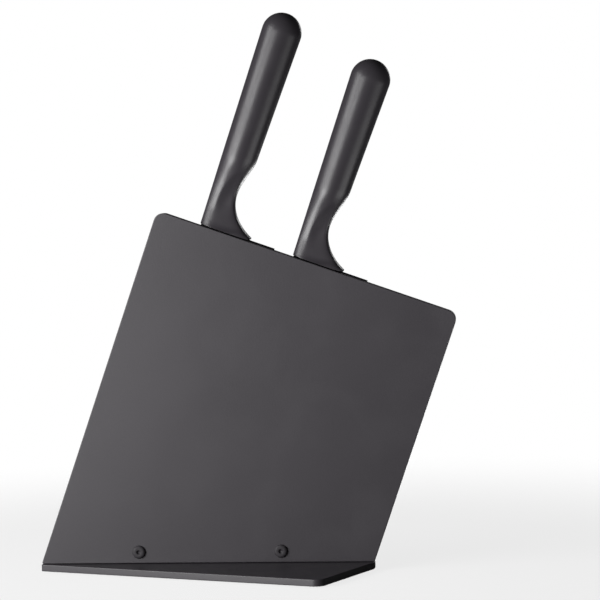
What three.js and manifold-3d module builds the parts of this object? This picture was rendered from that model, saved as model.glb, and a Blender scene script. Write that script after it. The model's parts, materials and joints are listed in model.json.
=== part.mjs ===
// Magnetic knife stand: a thin upright board on the diagonal of a small base plate, with its sides
// leaning to the right, and two knives held by magnets on its back.
// Millimetres, +Z up. The base plate's long side runs along X, and the front faces -Y.
import * as THREE from "three";
import { mergeVertices } from "three/addons/utils/BufferGeometryUtils.js";
import Module from "manifold-3d";

const wasm = await Module();
wasm.setup();

// ---------------------------------------------------------------- driving dimensions
const GAP = 0.3; // air left between two pieces that touch
const CUT_PAST = 1; // how far a cutter runs past the face that it opens
const BASE_LENGTH = 190; // rectangle whose diagonal carries the panel's front face
const BASE_DEPTH = 70;
const BASE_THICKNESS = 4.2;
const CORNER_RADIUS = 6;
const EDGE_ROUND = 0.4; // broken edge of the coated plates

const LEAN = THREE.MathUtils.degToRad(20); // of the panel's sides, away from upright
const PANEL_HEIGHT = 226; // along the left side
const PANEL_THICKNESS = 2;
const CORE_THICKNESS = 4; // magnet board, and the bracket under it
const BOARD_INSET = 0.4; // of the board's outline from the panel's

const PAD_RADIUS = 7;
const PAD_THICKNESS = 1.2;
const PAD_PROUD = 0.8;
const PAD_INSET = 13; // of a pad's centre from the base plate's edges

const BRACKET_HEIGHT = 15.5;
const BRACKET_FOOT_DEPTH = 15;
const BRACKET_FILLET = 1.5;
const BRACKET_FROM = 8; // along the panel's foot
const BRACKET_TO = 198;
const FOOT_FROM = 44;
const FOOT_TO = 160;

const SCREW_RADIUS = 2; // M4
const SCREW_HOLE_RADIUS = SCREW_RADIUS + GAP;
const BUTTON_HEAD_RADIUS = 4;
const BUTTON_HEAD_HEIGHT = 2.2;
const SOCKET_RADIUS = 1.45; // corner radius of the hexagon socket
const SOCKET_DEPTH = 1.3;
const FRONT_SCREWS_AT = [60.2, 146.5]; // along the panel's foot
const FRONT_SCREW_HEIGHT = 7.1;
const SINK_HEAD_RADIUS = 3.8;
const SINK_HEAD_RIM = 0.3; // upright edge of a countersunk head
const BASE_SCREWS_AT = [58, 102, 146];

const MAGNET_SIZE = { across: 50, back: 2.5, up: 12 };
const MAGNET_COLUMNS = [40, 95, 150];
const MAGNET_ROWS = [200, 150, 100];
const TAPE_WIDTH = 10;
const TAPE_THICKNESS = 0.8;
const TAPES = [
  { name: "bond_tape_top", up: 216, from: 12, to: 178 },
  { name: "bond_tape_upper", up: 175, from: 12, to: 178 },
  { name: "bond_tape_lower", up: 125, from: 12, to: 178 },
  { name: "bond_tape_foot", up: 70, from: 8, to: 120 },
];

const BLADE_THICKNESS = 2;
const EDGE_THICKNESS = 0.4;
const BEVEL_SHARE = 0.14; // of the blade's width, ground to the edge
const BEVEL_START = 0.6; // share of the thickness where the ground bevel starts
const SPINE_INSET = 0.6; // of the blade's spine from the handle's
const TIP_WIDTH = 0.8;
const TIP_THINNING = 0.45; // share of the thickness lost at the tip
const HANDLE_GAP = 0.7; // between the heel's level and the handle
const TANG = { from: 3, to: 12.5, lengthShare: 0.7 }; // of the handle's length
const COLLAR = { from: 1.5, to: 30, overlap: 2 }; // from the heel up to the handle

// A knife's handle, as widths from its spine side and heights above its lower end.
const GUARD_SWEEP = [[31.8, 0], [20.5, 6], [15.8, 15], [15.8, 23]]; // belly side, guard to finger notch
const NOTCH_SWEEP = [[15.8, 23], [15.8, 31], [20.7, 39], [21.2, 46]]; // finger notch to grip
const GRIP_END_WIDTH = 24;
const GRIP_END_ROUND = 12; // height of the rounded end
const GRIP_DRIFT = 0.0103; // slope of the grip's spine side away from the blade's
const GRIP_HALF_RATIO = 0.46; // half thickness to width
const GUARD_HALF = 6.2; // half thickness at the blade
const THICKENS_FROM = 4; // heights between which the guard's thickness becomes the grip's
const THICKENS_TO = 52;

const KNIVES = [
  { name: "cook", spineAt: 26.3, bladeLength: 200, bladeWidth: 48.5, tipDrop: 9, handleLength: 135 },
  {
    name: "vegetable",
    spineAt: 85.2,
    bladeLength: 165,
    bladeWidth: 48.5,
    tipDrop: 16,
    handleLength: 125.5,
  },
];

// ---------------------------------------------------------------- sizes that follow
const diagonal = Math.hypot(BASE_LENGTH, BASE_DEPTH);
const turn = Math.atan2(BASE_DEPTH, BASE_LENGTH); // of the panel from the base plate's long side
const panelWidth = diagonal * Math.cos(LEAN);
const baseTop = PAD_PROUD + BASE_THICKNESS;
const coreFront = PANEL_THICKNESS + GAP;
const boardBack = coreFront + CORE_THICKNESS;
const boardFoot = BRACKET_HEIGHT + 2 * GAP;

// ---------------------------------------------------------------- materials
function finish(color, roughness, metalness) {
  return new THREE.MeshStandardMaterial({ color, roughness, metalness });
}
const coatedSteel = finish(0x4a494b, 0.5, 0.25);
const blackSteel = finish(0x1c1c1e, 0.4, 0.7);
const boardPlastic = finish(0x242426, 0.6, 0);
const handlePlastic = finish(0x2c2c2e, 0.45, 0);
const bladeSteel = finish(0x18181a, 0.35, 0.8);
const magnetPlating = finish(0xb4b6b8, 0.25, 1);
const foamTape = finish(0x3a3a3c, 0.95, 0);
const padRubber = finish(0x202020, 0.9, 0);

// ---------------------------------------------------------------- building helpers
function toSolid(geometry) {
  const bare = geometry.clone();
  bare.deleteAttribute("normal");
  bare.deleteAttribute("uv");
  const merged = mergeVertices(bare, 1e-4);
  return new wasm.Manifold(
    new wasm.Mesh({
      numProp: 3,
      vertProperties: merged.attributes.position.array,
      triVerts: new Uint32Array(merged.index.array),
    }),
  );
}

function toGeometry(solid) {
  const mesh = solid.getMesh();
  const geometry = new THREE.BufferGeometry();
  geometry.setAttribute("position", new THREE.BufferAttribute(mesh.vertProperties, 3));
  geometry.setIndex(new THREE.BufferAttribute(mesh.triVerts, 1));
  geometry.computeVertexNormals();
  return geometry;
}

function cut(geometry, tools) {
  return toGeometry(tools.reduce((left, tool) => left.subtract(toSolid(tool)), toSolid(geometry)));
}

function join(a, b) {
  return toGeometry(toSolid(a).add(toSolid(b)));
}

function addPart(parent, name, geometry, material) {
  const mesh = new THREE.Mesh(geometry, material);
  mesh.name = name;
  parent.add(mesh);
  return mesh;
}

// A box from its lowest to its highest corner.
function block(low, high) {
  const size = high.map((value, i) => value - low[i]);
  return new THREE.BoxGeometry(...size).translate(...low.map((value, i) => value + size[i] / 2));
}

// A flat plate with broken edges, from z = 0 up.
function plate(shape, thickness, edge = 0) {
  return new THREE.ExtrudeGeometry(shape, {
    depth: thickness - 2 * edge,
    bevelEnabled: edge > 0,
    bevelThickness: edge,
    bevelSize: edge,
    bevelOffset: -edge,
    bevelSegments: 2,
    curveSegments: 8,
  }).translate(0, 0, edge);
}

// The same plate stood up: the shape's x and y become x and z, and it is thick from y = back on.
function uprightPlate(shape, back, thickness, edge = 0) {
  return plate(shape, thickness, edge)
    .rotateX(Math.PI / 2)
    .translate(0, back + thickness, 0);
}

// A rod or cutter turned round z from [radius, z] points that run upwards.
function turned(points, sides = 32) {
  return new THREE.LatheGeometry(
    points.map(([radius, z]) => new THREE.Vector2(radius, z)),
    sides,
  ).rotateX(Math.PI / 2);
}

// A solid through rings of points, given from the lowest ring up and anticlockwise seen from above.
function loft(rings) {
  const levels = rings.length - 1;
  const around = rings[0].length;
  const geometry = new THREE.CylinderGeometry(1, 1, levels, around, levels);
  const position = geometry.getAttribute("position");
  for (let i = 0; i < position.count; i++) {
    const ring = rings[Math.round(position.getY(i) + levels / 2)];
    const onAxis = Math.hypot(position.getX(i), position.getZ(i)) < 0.5;
    const angle = Math.atan2(position.getX(i), position.getZ(i)) / (2 * Math.PI);
    const point = onAxis
      ? ring.reduce((sum, p) => sum.add(p), new THREE.Vector3()).divideScalar(around)
      : ring[(Math.round(angle * around) + around) % around];
    position.setXYZ(i, point.x, point.y, point.z);
  }
  return geometry;
}

// ---------------------------------------------------------------- base plate and its pads
// Points on the plan: the board stands from front-left to back-right, its front face on the
// rectangle's diagonal, and the plate is the same behind it, turned half round.
const frontLeft = new THREE.Vector2(-BASE_LENGTH / 2, -BASE_DEPTH / 2);
const frontRight = new THREE.Vector2(BASE_LENGTH / 2, -BASE_DEPTH / 2);
const backRight = new THREE.Vector2(BASE_LENGTH / 2, BASE_DEPTH / 2);
const throughBoard = new THREE.Vector2(-Math.sin(turn), Math.cos(turn)).multiplyScalar(boardBack);
const middle = frontLeft.clone().add(backRight).add(throughBoard).divideScalar(2);
const backLeft = middle.clone().multiplyScalar(2).sub(frontRight);

function baseOutline() {
  const shape = new THREE.Shape();
  const behindRight = backRight.clone().add(throughBoard);
  const behindLeft = frontLeft.clone().add(throughBoard);
  shape.moveTo(frontLeft.x, frontLeft.y);
  shape.lineTo(frontRight.x - CORNER_RADIUS, frontRight.y);
  shape.absarc(
    frontRight.x - CORNER_RADIUS,
    frontRight.y + CORNER_RADIUS,
    CORNER_RADIUS,
    -Math.PI / 2,
    0,
  );
  shape.lineTo(backRight.x, backRight.y);
  shape.lineTo(behindRight.x, behindRight.y);
  shape.lineTo(backLeft.x + CORNER_RADIUS, backLeft.y);
  shape.absarc(
    backLeft.x + CORNER_RADIUS,
    backLeft.y - CORNER_RADIUS,
    CORNER_RADIUS,
    Math.PI / 2,
    Math.PI,
  );
  shape.lineTo(behindLeft.x, behindLeft.y);
  shape.closePath();
  return shape;
}

const padCentres = [
  new THREE.Vector2(backLeft.x + 2 * PAD_INSET, frontLeft.y + PAD_INSET),
  new THREE.Vector2(frontRight.x - PAD_INSET, frontRight.y + PAD_INSET),
  new THREE.Vector2(frontRight.x - 2 * PAD_INSET, backLeft.y - PAD_INSET),
  new THREE.Vector2(backLeft.x + PAD_INSET, backLeft.y - PAD_INSET),
];

// A cylinder from z = low to z = high, at a place on the plan.
function disc(centre, radius, low, high) {
  return turned([
    [0, low],
    [radius, low],
    [radius, high],
    [0, high],
  ]).translate(centre.x, centre.y, 0);
}

// ---------------------------------------------------------------- screws
// A countersunk screw that stands on its head's flat face at z = 0. The cutter for its hole is one
// with some lead below that face.
function sunkScrew(headRadius, shankRadius, length, lead = 0) {
  return turned([
    [0, -lead],
    [headRadius, -lead],
    [headRadius, SINK_HEAD_RIM],
    [shankRadius, SINK_HEAD_RIM + headRadius - shankRadius],
    [shankRadius, length],
    [0, length],
  ]);
}

function hexSocket(depth) {
  return new THREE.CylinderGeometry(SOCKET_RADIUS, SOCKET_RADIUS, 2 * depth, 6).rotateX(Math.PI / 2);
}

// A button-head screw whose head sits below z = 0 and whose shank runs up from it.
function buttonScrew(length) {
  const STEPS = 6;
  const crown = Array.from({ length: STEPS + 1 }, (_, step) => {
    const angle = (step / STEPS) * (Math.PI / 2);
    return [BUTTON_HEAD_RADIUS * Math.sin(angle), -BUTTON_HEAD_HEIGHT * Math.cos(angle)];
  });
  const outside = turned([...crown, [SCREW_RADIUS, 0], [SCREW_RADIUS, length], [0, length]]);
  return cut(outside, [hexSocket(SOCKET_DEPTH).translate(0, 0, -BUTTON_HEAD_HEIGHT)]);
}

// ---------------------------------------------------------------- the leaning board
// Outline of the panel or the board in its own leaning plane: x across, y along the lean. The foot is
// level, at the given height over the base plate.
function boardOutline(footHeight, inset) {
  const left = inset;
  const right = panelWidth - inset;
  const top = PANEL_HEIGHT - inset;
  const radius = CORNER_RADIUS - inset;
  const footAt = (x) => footHeight / Math.cos(LEAN) + x * Math.tan(LEAN);
  const shape = new THREE.Shape();
  shape.moveTo(left, footAt(left));
  shape.lineTo(right, footAt(right));
  shape.lineTo(right, top - radius);
  shape.absarc(right - radius, top - radius, radius, 0, Math.PI / 2);
  shape.lineTo(left + radius, top);
  shape.absarc(left + radius, top - radius, radius, Math.PI / 2, Math.PI);
  shape.closePath();
  return shape;
}

function magnetBlock(across, up, slack) {
  const half = { x: MAGNET_SIZE.across / 2 + slack, z: MAGNET_SIZE.up / 2 + slack };
  const front = coreFront - slack;
  const back = coreFront + MAGNET_SIZE.back + slack;
  return block([across - half.x, front, up - half.z], [across + half.x, back, up + half.z]);
}

function tapeBlock({ up, from, to }, slack) {
  const front = coreFront - slack;
  const back = coreFront + TAPE_THICKNESS + slack;
  const half = TAPE_WIDTH / 2 + slack;
  return block([from - slack, front, up - half], [to + slack, back, up + half]);
}

const magnetPlaces = MAGNET_ROWS.flatMap((up, row) =>
  MAGNET_COLUMNS.map((across, column) => ({ name: `magnet_${row + 1}_${column + 1}`, across, up })),
);

// ---------------------------------------------------------------- bracket behind the panel's foot
const footScrewBack = boardBack + BRACKET_FOOT_DEPTH / 2;

// A cylinder through the upright plates, from y = from to y = to.
function crossRod(radius, from, to) {
  return disc(new THREE.Vector2(), radius, from, to).rotateX(-Math.PI / 2);
}

// The bracket's angle section, in its own frame: x to the back and y up.
function bracketProfile() {
  const upright = CORE_THICKNESS;
  const back = CORE_THICKNESS + BRACKET_FOOT_DEPTH;
  const filletX = upright + BRACKET_FILLET;
  const filletY = CORE_THICKNESS + BRACKET_FILLET;
  const profile = new THREE.Shape();
  profile.moveTo(0, 0);
  profile.lineTo(back, 0);
  profile.lineTo(back, CORE_THICKNESS);
  profile.lineTo(filletX, CORE_THICKNESS);
  profile.absarc(filletX, filletY, BRACKET_FILLET, -Math.PI / 2, -Math.PI, true);
  profile.lineTo(upright, BRACKET_HEIGHT);
  profile.lineTo(0, BRACKET_HEIGHT);
  profile.closePath();
  return profile;
}

// The angle carries the panel along its whole foot, and its own foot is shorter.
function bracketGeometry() {
  const angle = new THREE.ExtrudeGeometry(bracketProfile(), {
    depth: BRACKET_TO - BRACKET_FROM,
    bevelEnabled: false,
    curveSegments: 6,
  })
    .rotateX(Math.PI / 2)
    .rotateZ(Math.PI / 2)
    .translate(BRACKET_FROM, coreFront, GAP);
  const trimTop = GAP + CORE_THICKNESS + BRACKET_FILLET + CUT_PAST;
  const trimBack = boardBack + BRACKET_FOOT_DEPTH + CUT_PAST;
  const trims = [
    block([BRACKET_FROM - CUT_PAST, boardBack, -CUT_PAST], [FOOT_FROM, trimBack, trimTop]),
    block([FOOT_TO, boardBack, -CUT_PAST], [BRACKET_TO + CUT_PAST, trimBack, trimTop]),
  ];
  const sideHoles = FRONT_SCREWS_AT.map((at) =>
    crossRod(SCREW_HOLE_RADIUS, 0, boardBack + CUT_PAST).translate(at, 0, FRONT_SCREW_HEIGHT),
  );
  const footHoles = BASE_SCREWS_AT.map((at) =>
    disc({ x: at, y: footScrewBack }, SCREW_HOLE_RADIUS, -CUT_PAST, 2 * CORE_THICKNESS),
  );
  return cut(angle, [...trims, ...sideHoles, ...footHoles]);
}

// ---------------------------------------------------------------- knives
// A knife's own frame: x from its spine to its edge, y towards its back face, z up along the knife,
// with the heel of the blade at z = 0.
function sweep(points) {
  return new THREE.CubicBezierCurve(...points.map(([width, up]) => new THREE.Vector2(width, up)));
}

// One ring of the handle: an ellipse of the given width, or less of it where scale is under 1.
function handleRing(width, up, scale) {
  const SIDES = 28;
  const middleX = width / 2 - GRIP_DRIFT * up;
  const thickening = THREE.MathUtils.smoothstep(up, THICKENS_FROM, THICKENS_TO);
  const half = THREE.MathUtils.lerp(GUARD_HALF, width * GRIP_HALF_RATIO, thickening);
  return Array.from({ length: SIDES }, (_, side) => {
    const angle = (side / SIDES) * 2 * Math.PI;
    const x = middleX + (width / 2) * scale * Math.cos(angle);
    return new THREE.Vector3(x, half * scale * Math.sin(angle), HANDLE_GAP + up);
  });
}

function handleGeometry({ handleLength }, tangLength) {
  const SWEEP_STEPS = 7;
  const GRIP_STEPS = 6;
  const END_STEPS = 7;
  const END_SWEEP = THREE.MathUtils.degToRad(84); // the rest of the round is the end's small flat
  const endStart = handleLength - GRIP_END_ROUND;
  const gripStart = new THREE.Vector2(...NOTCH_SWEEP.at(-1));
  const grip = new THREE.LineCurve(gripStart, new THREE.Vector2(GRIP_END_WIDTH, endStart));
  const belly = [
    ...sweep(GUARD_SWEEP).getPoints(SWEEP_STEPS),
    ...sweep(NOTCH_SWEEP).getPoints(SWEEP_STEPS).slice(1),
    ...grip.getPoints(GRIP_STEPS).slice(1),
  ];
  const rings = belly.map((point) => handleRing(point.x, point.y, 1));
  for (let step = 1; step <= END_STEPS; step++) {
    const angle = (step / END_STEPS) * END_SWEEP;
    const up = endStart + GRIP_END_ROUND * Math.sin(angle);
    rings.push(handleRing(GRIP_END_WIDTH, up, Math.cos(angle)));
  }
  const slotHalf = BLADE_THICKNESS / 2 + GAP;
  const slot = block(
    [TANG.from - GAP, -slotHalf, HANDLE_GAP - CUT_PAST],
    [TANG.to + GAP, slotHalf, tangLength + GAP],
  );
  return cut(loft(rings), [slot]);
}

// One ring of the blade: spine square, faces flat, and the last of its width ground to the edge.
function bladeRing(spine, edge, half, z) {
  const bevel = edge - BEVEL_SHARE * (edge - spine);
  const bevelHalf = BEVEL_START * half;
  const points = [
    [edge, -EDGE_THICKNESS / 2],
    [edge, EDGE_THICKNESS / 2],
    [bevel, bevelHalf],
    [spine, half],
    [spine, -half],
    [bevel, -bevelHalf],
  ];
  return points.map(([x, y]) => new THREE.Vector3(x, y, z));
}

// The blade narrows towards its tip from both sides: the spine drops by tipDrop, late and fast, and
// the edge rises to meet it, gently from the heel and then in a sweep.
function bladeGeometry({ bladeLength, bladeWidth, tipDrop }, tangLength) {
  const LEVELS = 22;
  const LEVEL_CROWDING = 1.6; // more rings near the tip
  const SPINE_POWER = 4.5;
  const EDGE_SLOPE = 0.14;
  const EDGE_POWER = 3.6;
  const rings = Array.from({ length: LEVELS + 1 }, (_, level) => {
    const along = 1 - (level / LEVELS) ** LEVEL_CROWDING; // 1 at the tip, 0 at the heel
    const spine = SPINE_INSET + tipDrop * along ** SPINE_POWER;
    const left = 1 - EDGE_SLOPE * along - (1 - EDGE_SLOPE) * along ** EDGE_POWER;
    const edge = spine + TIP_WIDTH + (bladeWidth - SPINE_INSET - TIP_WIDTH - spine) * left;
    const half = (BLADE_THICKNESS / 2) * (1 - TIP_THINNING * along);
    return bladeRing(spine, edge, half, -bladeLength * along);
  });
  const half = BLADE_THICKNESS / 2;
  const start = -COLLAR.overlap;
  const collar = block([COLLAR.from, -half, start], [COLLAR.to, half, HANDLE_GAP - GAP]);
  const tang = block([TANG.from, -half, start], [TANG.to, half, tangLength]);
  return join(join(loft(rings), collar), tang);
}

// ---------------------------------------------------------------- assembly
const root = new THREE.Group();

const basePlate = plate(baseOutline(), BASE_THICKNESS, EDGE_ROUND).translate(0, 0, PAD_PROUD);

// The foot of the board: x along the panel's foot, y to the back, z up from the base plate's top.
const foot = new THREE.Group();
foot.position.set(frontLeft.x, frontLeft.y, baseTop);
foot.rotation.z = turn;
root.add(foot);

// The same, leaning with the panel's sides: x across the panel, z up along them.
const leaning = new THREE.Group();
leaning.rotation.y = LEAN;
foot.add(leaning);

const sinkTools = BASE_SCREWS_AT.map((at) =>
  sunkScrew(SINK_HEAD_RADIUS + GAP, SCREW_HOLE_RADIUS, 2 * BASE_THICKNESS, CUT_PAST)
    .translate(at, footScrewBack, -BASE_THICKNESS)
    .rotateZ(turn)
    .translate(frontLeft.x, frontLeft.y, baseTop),
);
const padTools = padCentres.map((centre) => disc(centre, PAD_RADIUS + GAP, 0, PAD_THICKNESS + GAP));
addPart(root, "base_plate", cut(basePlate, [...sinkTools, ...padTools]), coatedSteel);
padCentres.forEach((centre, i) => {
  addPart(root, `foot_pad_${i + 1}`, disc(centre, PAD_RADIUS, 0, PAD_THICKNESS), padRubber);
});

addPart(foot, "foot_bracket", bracketGeometry(), blackSteel);
BASE_SCREWS_AT.forEach((at, i) => {
  const screw = sunkScrew(SINK_HEAD_RADIUS, SCREW_RADIUS, BASE_THICKNESS + CORE_THICKNESS);
  const socketed = cut(screw, [hexSocket(SOCKET_DEPTH)]);
  const mesh = addPart(foot, `base_screw_${i + 1}`, socketed, blackSteel);
  mesh.position.set(at, footScrewBack, -BASE_THICKNESS);
});

const panelHoles = FRONT_SCREWS_AT.map((at) =>
  crossRod(SCREW_HOLE_RADIUS, -CUT_PAST, PANEL_THICKNESS + CUT_PAST)
    .translate(at, 0, FRONT_SCREW_HEIGHT)
    .rotateY(-LEAN),
);
const panel = uprightPlate(boardOutline(GAP, 0), 0, PANEL_THICKNESS, EDGE_ROUND);
addPart(leaning, "front_panel", cut(panel, panelHoles), coatedSteel);
FRONT_SCREWS_AT.forEach((at, i) => {
  const screw = buttonScrew(boardBack - GAP).rotateX(-Math.PI / 2);
  const name = i ? "front_screw_right" : "front_screw_left";
  addPart(foot, name, screw, blackSteel).position.set(at, -GAP, FRONT_SCREW_HEIGHT);
});

const boardShape = boardOutline(boardFoot, BOARD_INSET);
const board = uprightPlate(boardShape, coreFront, CORE_THICKNESS, EDGE_ROUND);
const pockets = [
  ...magnetPlaces.map(({ across, up }) => magnetBlock(across, up, GAP)),
  ...TAPES.map((tape) => tapeBlock(tape, GAP)),
];
addPart(leaning, "magnet_board", cut(board, pockets), boardPlastic);
magnetPlaces.forEach(({ name, across, up }) => {
  addPart(leaning, name, magnetBlock(across, up, 0), magnetPlating);
});
TAPES.forEach((tape) => {
  addPart(leaning, tape.name, tapeBlock(tape, 0), foamTape);
});

KNIVES.forEach((knife) => {
  const tangLength = TANG.lengthShare * knife.handleLength;
  const held = new THREE.Group();
  held.position.set(knife.spineAt, boardBack + GAP + BLADE_THICKNESS / 2, PANEL_HEIGHT);
  leaning.add(held);
  addPart(held, `${knife.name}_blade`, bladeGeometry(knife, tangLength), bladeSteel);
  addPart(held, `${knife.name}_handle`, handleGeometry(knife, tangLength), handlePlastic);
});

// The origin is the middle of the part's outline on the plan, on the surface that it stands on.
const box = new THREE.Box3().setFromObject(root, true);
root.position.set(-(box.min.x + box.max.x) / 2, -(box.min.y + box.max.y) / 2, -box.min.z);

export default root;
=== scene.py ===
"""Looks of a magnetic knife stand: a thin coated steel panel on the diagonal of a small base plate,
with its sides leaning to the right, a magnet board behind it, and two black knives on the board.

Everything is in metres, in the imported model's frame: +Z up and the front towards -Y. Sizes of fine
detail are written in millimetres times MM; places are worked out from the CAD nodes.
"""

import json
import math

import bmesh
import bpy
from mathutils import Matrix, Vector


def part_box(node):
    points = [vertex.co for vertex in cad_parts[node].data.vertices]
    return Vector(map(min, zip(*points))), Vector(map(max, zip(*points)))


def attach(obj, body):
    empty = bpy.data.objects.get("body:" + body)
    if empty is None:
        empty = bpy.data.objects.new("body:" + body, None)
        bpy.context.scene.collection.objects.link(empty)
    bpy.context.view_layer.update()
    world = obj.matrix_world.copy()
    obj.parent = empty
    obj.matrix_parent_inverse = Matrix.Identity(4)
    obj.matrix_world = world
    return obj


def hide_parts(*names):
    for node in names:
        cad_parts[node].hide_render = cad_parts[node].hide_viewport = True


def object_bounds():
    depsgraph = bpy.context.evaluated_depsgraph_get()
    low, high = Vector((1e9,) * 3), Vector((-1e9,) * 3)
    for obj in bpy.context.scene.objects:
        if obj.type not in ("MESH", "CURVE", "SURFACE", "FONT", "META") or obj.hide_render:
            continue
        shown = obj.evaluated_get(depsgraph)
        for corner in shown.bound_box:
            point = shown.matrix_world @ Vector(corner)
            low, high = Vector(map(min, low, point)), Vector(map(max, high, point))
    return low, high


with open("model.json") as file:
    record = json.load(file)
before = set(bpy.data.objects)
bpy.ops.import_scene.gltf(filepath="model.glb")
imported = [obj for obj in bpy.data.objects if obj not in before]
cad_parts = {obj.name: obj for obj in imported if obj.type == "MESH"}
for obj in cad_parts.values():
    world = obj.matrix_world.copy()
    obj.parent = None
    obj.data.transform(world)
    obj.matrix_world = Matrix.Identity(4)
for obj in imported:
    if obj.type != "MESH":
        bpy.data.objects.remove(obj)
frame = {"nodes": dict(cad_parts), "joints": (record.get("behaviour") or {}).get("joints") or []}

cad_low, cad_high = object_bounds()

MM = 0.001

# ---------------------------------------------------------------- sizes and repeated nodes
BASE_LENGTH = 190 * MM  # the rectangle whose diagonal carries the panel's front face
BASE_DEPTH = 70 * MM
CORNER_RADIUS = 6 * MM
SHARP_RADIUS = 0.9 * MM  # corners that only have their edge broken
PLATE_EDGE = 0.5 * MM  # rounding along the edges of the coated plates
BOARD_EDGE = 0.4 * MM
BOARD_THINNED = 0.08 * MM  # by which the board's back face is in front of the CAD's
PAD_EDGE = 0.25 * MM
CLEARANCE = 0.3 * MM  # round whatever sits in a hole or pocket
OVERCUT = 1 * MM  # a cutter runs at least this far past the face that it opens
SCREW_RADIUS = 2 * MM
SCREW_HOLE = SCREW_RADIUS + CLEARANCE
SCREW_END_RADIUS = 0.8 * SCREW_RADIUS  # the shank tapers to this
SCREW_END_LENGTH = 0.4 * MM
SOCKET_CHAMFER = 0.12 * MM
SUNK_RIM = 0.3 * MM  # height of a countersunk head's upright edge
SUNK_SOCKET_RADIUS = 1.45 * MM
SUNK_SOCKET_DEPTH = 1.3 * MM
HEAD_EDGE = 0.1 * MM  # broken edge of a screw's head
BUTTON_FLAT = 2.4 * MM  # radius of the button head's flat middle
BUTTON_RIM = 0.15 * MM  # height of its upright edge
BUTTON_HEIGHT_SHARE = 0.7  # of the CAD head's height
BUTTON_SOCKET_RADIUS = 1.3 * MM
BUTTON_SOCKET_DEPTH = 0.7 * MM
BRACKET_FILLET = 1.5 * MM
BRACKET_EDGE = 0.35 * MM
FRONT_SCREWS = ("front_screw_left", "front_screw_right")
BASE_SCREWS = [f"base_screw_{number}" for number in range(1, 4)]
FOOT_PADS = [f"foot_pad_{number}" for number in range(1, 5)]

FLOOR_OPACITY = 0.2  # so that it's nearly as white as the backdrop, and still takes a shadow
FLOOR_SOLID = 0.22  # radius up to which it keeps this opacity
FLOOR_GONE = 0.62  # radius at which it has faded away
ROOM_LIGHT = 0.03  # what the room adds to the soft boxes


# ---------------------------------------------------------------- frames worked out from the CAD
def reach(node, axis, origin=Vector()):
    """Lowest and highest distance of a CAD node from the origin, measured along an axis."""
    steps = [(v.co - origin).dot(axis) for v in frame["nodes"][node].data.vertices]
    return min(steps), max(steps)


def frame_matrix(x_axis, y_axis, z_axis, origin):
    """The matrix of a local frame, from its axes and its origin."""
    rotation = Matrix((x_axis, y_axis, z_axis)).transposed().to_4x4()
    return Matrix.Translation(origin) @ rotation


UP = Vector((0, 0, 1))
lift_axis = Vector(frame["joints"][0]["axis"]).normalized()  # the knives slide along the lean
foot_axis = Vector((lift_axis.x, lift_axis.y, 0)).normalized()  # along the panel's foot
back_axis = UP.cross(foot_axis)
across_axis = back_axis.cross(lift_axis)  # across the leaning panel, towards the right
lean = lift_axis.angle(UP)

base_low, base_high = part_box("base_plate")
front_left = Vector((base_high.x - BASE_LENGTH, base_low.y, base_high.z))
foot_frame = frame_matrix(foot_axis, back_axis, UP, front_left)
lean_frame = frame_matrix(across_axis, back_axis, lift_axis, front_left)

panel_left, panel_right = reach("front_panel", across_axis, front_left)
panel_front, panel_back = reach("front_panel", back_axis, front_left)
panel_top = reach("front_panel", lift_axis, front_left)[1]
panel_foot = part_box("front_panel")[0].z - base_high.z
board_left, board_right = reach("magnet_board", across_axis, front_left)
board_front, board_back = reach("magnet_board", back_axis, front_left)
board_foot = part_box("magnet_board")[0].z - base_high.z


# ---------------------------------------------------------------- mesh building
def mesh_object(name, vertices, faces, matrix=Matrix()):
    """A new object whose vertices are given in a local frame and stored in the model's frame."""
    mesh = bpy.data.meshes.new(name)
    mesh.from_pydata([matrix @ Vector(v) for v in vertices], [], faces)
    work = bmesh.new()
    work.from_mesh(mesh)
    bmesh.ops.recalc_face_normals(work, faces=work.faces)
    work.to_mesh(mesh)
    work.free()
    piece = bpy.data.objects.new(name, mesh)
    bpy.context.scene.collection.objects.link(piece)
    return piece


def loft(rings):
    """Vertices and faces of a closed body through rings of equal length, with a face on each end."""
    count = len(rings[0])
    vertices = [point for ring in rings for point in ring]
    faces = []
    for level in range(len(rings) - 1):
        low, high = level * count, (level + 1) * count
        for i in range(count):
            j = (i + 1) % count
            faces.append((low + i, low + j, high + j, high + i))
    faces.append(tuple(reversed(range(count))))
    faces.append(tuple(range(len(vertices) - count, len(vertices))))
    return vertices, faces


def rounded_outline(corners, radii, inset, steps=8):
    """Points of a polygon, given anticlockwise, with its corners rounded and its sides moved in."""
    least_radius = 1e-6  # keeps the points of a sharp corner apart
    points = []
    count = len(corners)
    for i, corner in enumerate(corners):
        before = (corner - corners[i - 1]).normalized()
        after = (corners[(i + 1) % count] - corner).normalized()
        bend = math.atan2(before.cross(after), before.dot(after))
        radius = max(radii[i], inset) - inset + least_radius
        to_centre = (after - before).normalized() / math.cos(bend / 2)
        centre = corner + to_centre * (radius + inset)
        start = math.atan2(-before.x, before.y)
        for step in range(steps + 1):
            angle = start + bend * step / steps
            points.append(centre + Vector((math.cos(angle), math.sin(angle))) * radius)
    return points


def edge_rings(low, high, edge, steps=4):
    """(inset, height) pairs round both edges of a plate, from its lower face to its upper one."""
    quarter = [math.radians(90) * step / steps for step in range(steps + 1)]
    lower = [(edge * (1 - math.sin(a)), low + edge * (1 - math.cos(a))) for a in quarter]
    upper = [(inset, high + low - height) for inset, height in reversed(lower)]
    return lower + upper


def plate(name, corners, radii, low, high, edge, matrix, upright=False):
    """A flat plate with rounded corners and edges. Upright, its outline lies in the x-z plane."""
    rings = []
    for inset, height in edge_rings(low, high, edge):
        outline = rounded_outline(corners, radii, inset)
        if upright:
            rings.append([(p.x, height, p.y) for p in outline])
        else:
            rings.append([(p.x, p.y, height) for p in outline])
    return mesh_object(name, *loft(rings), matrix)


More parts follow.
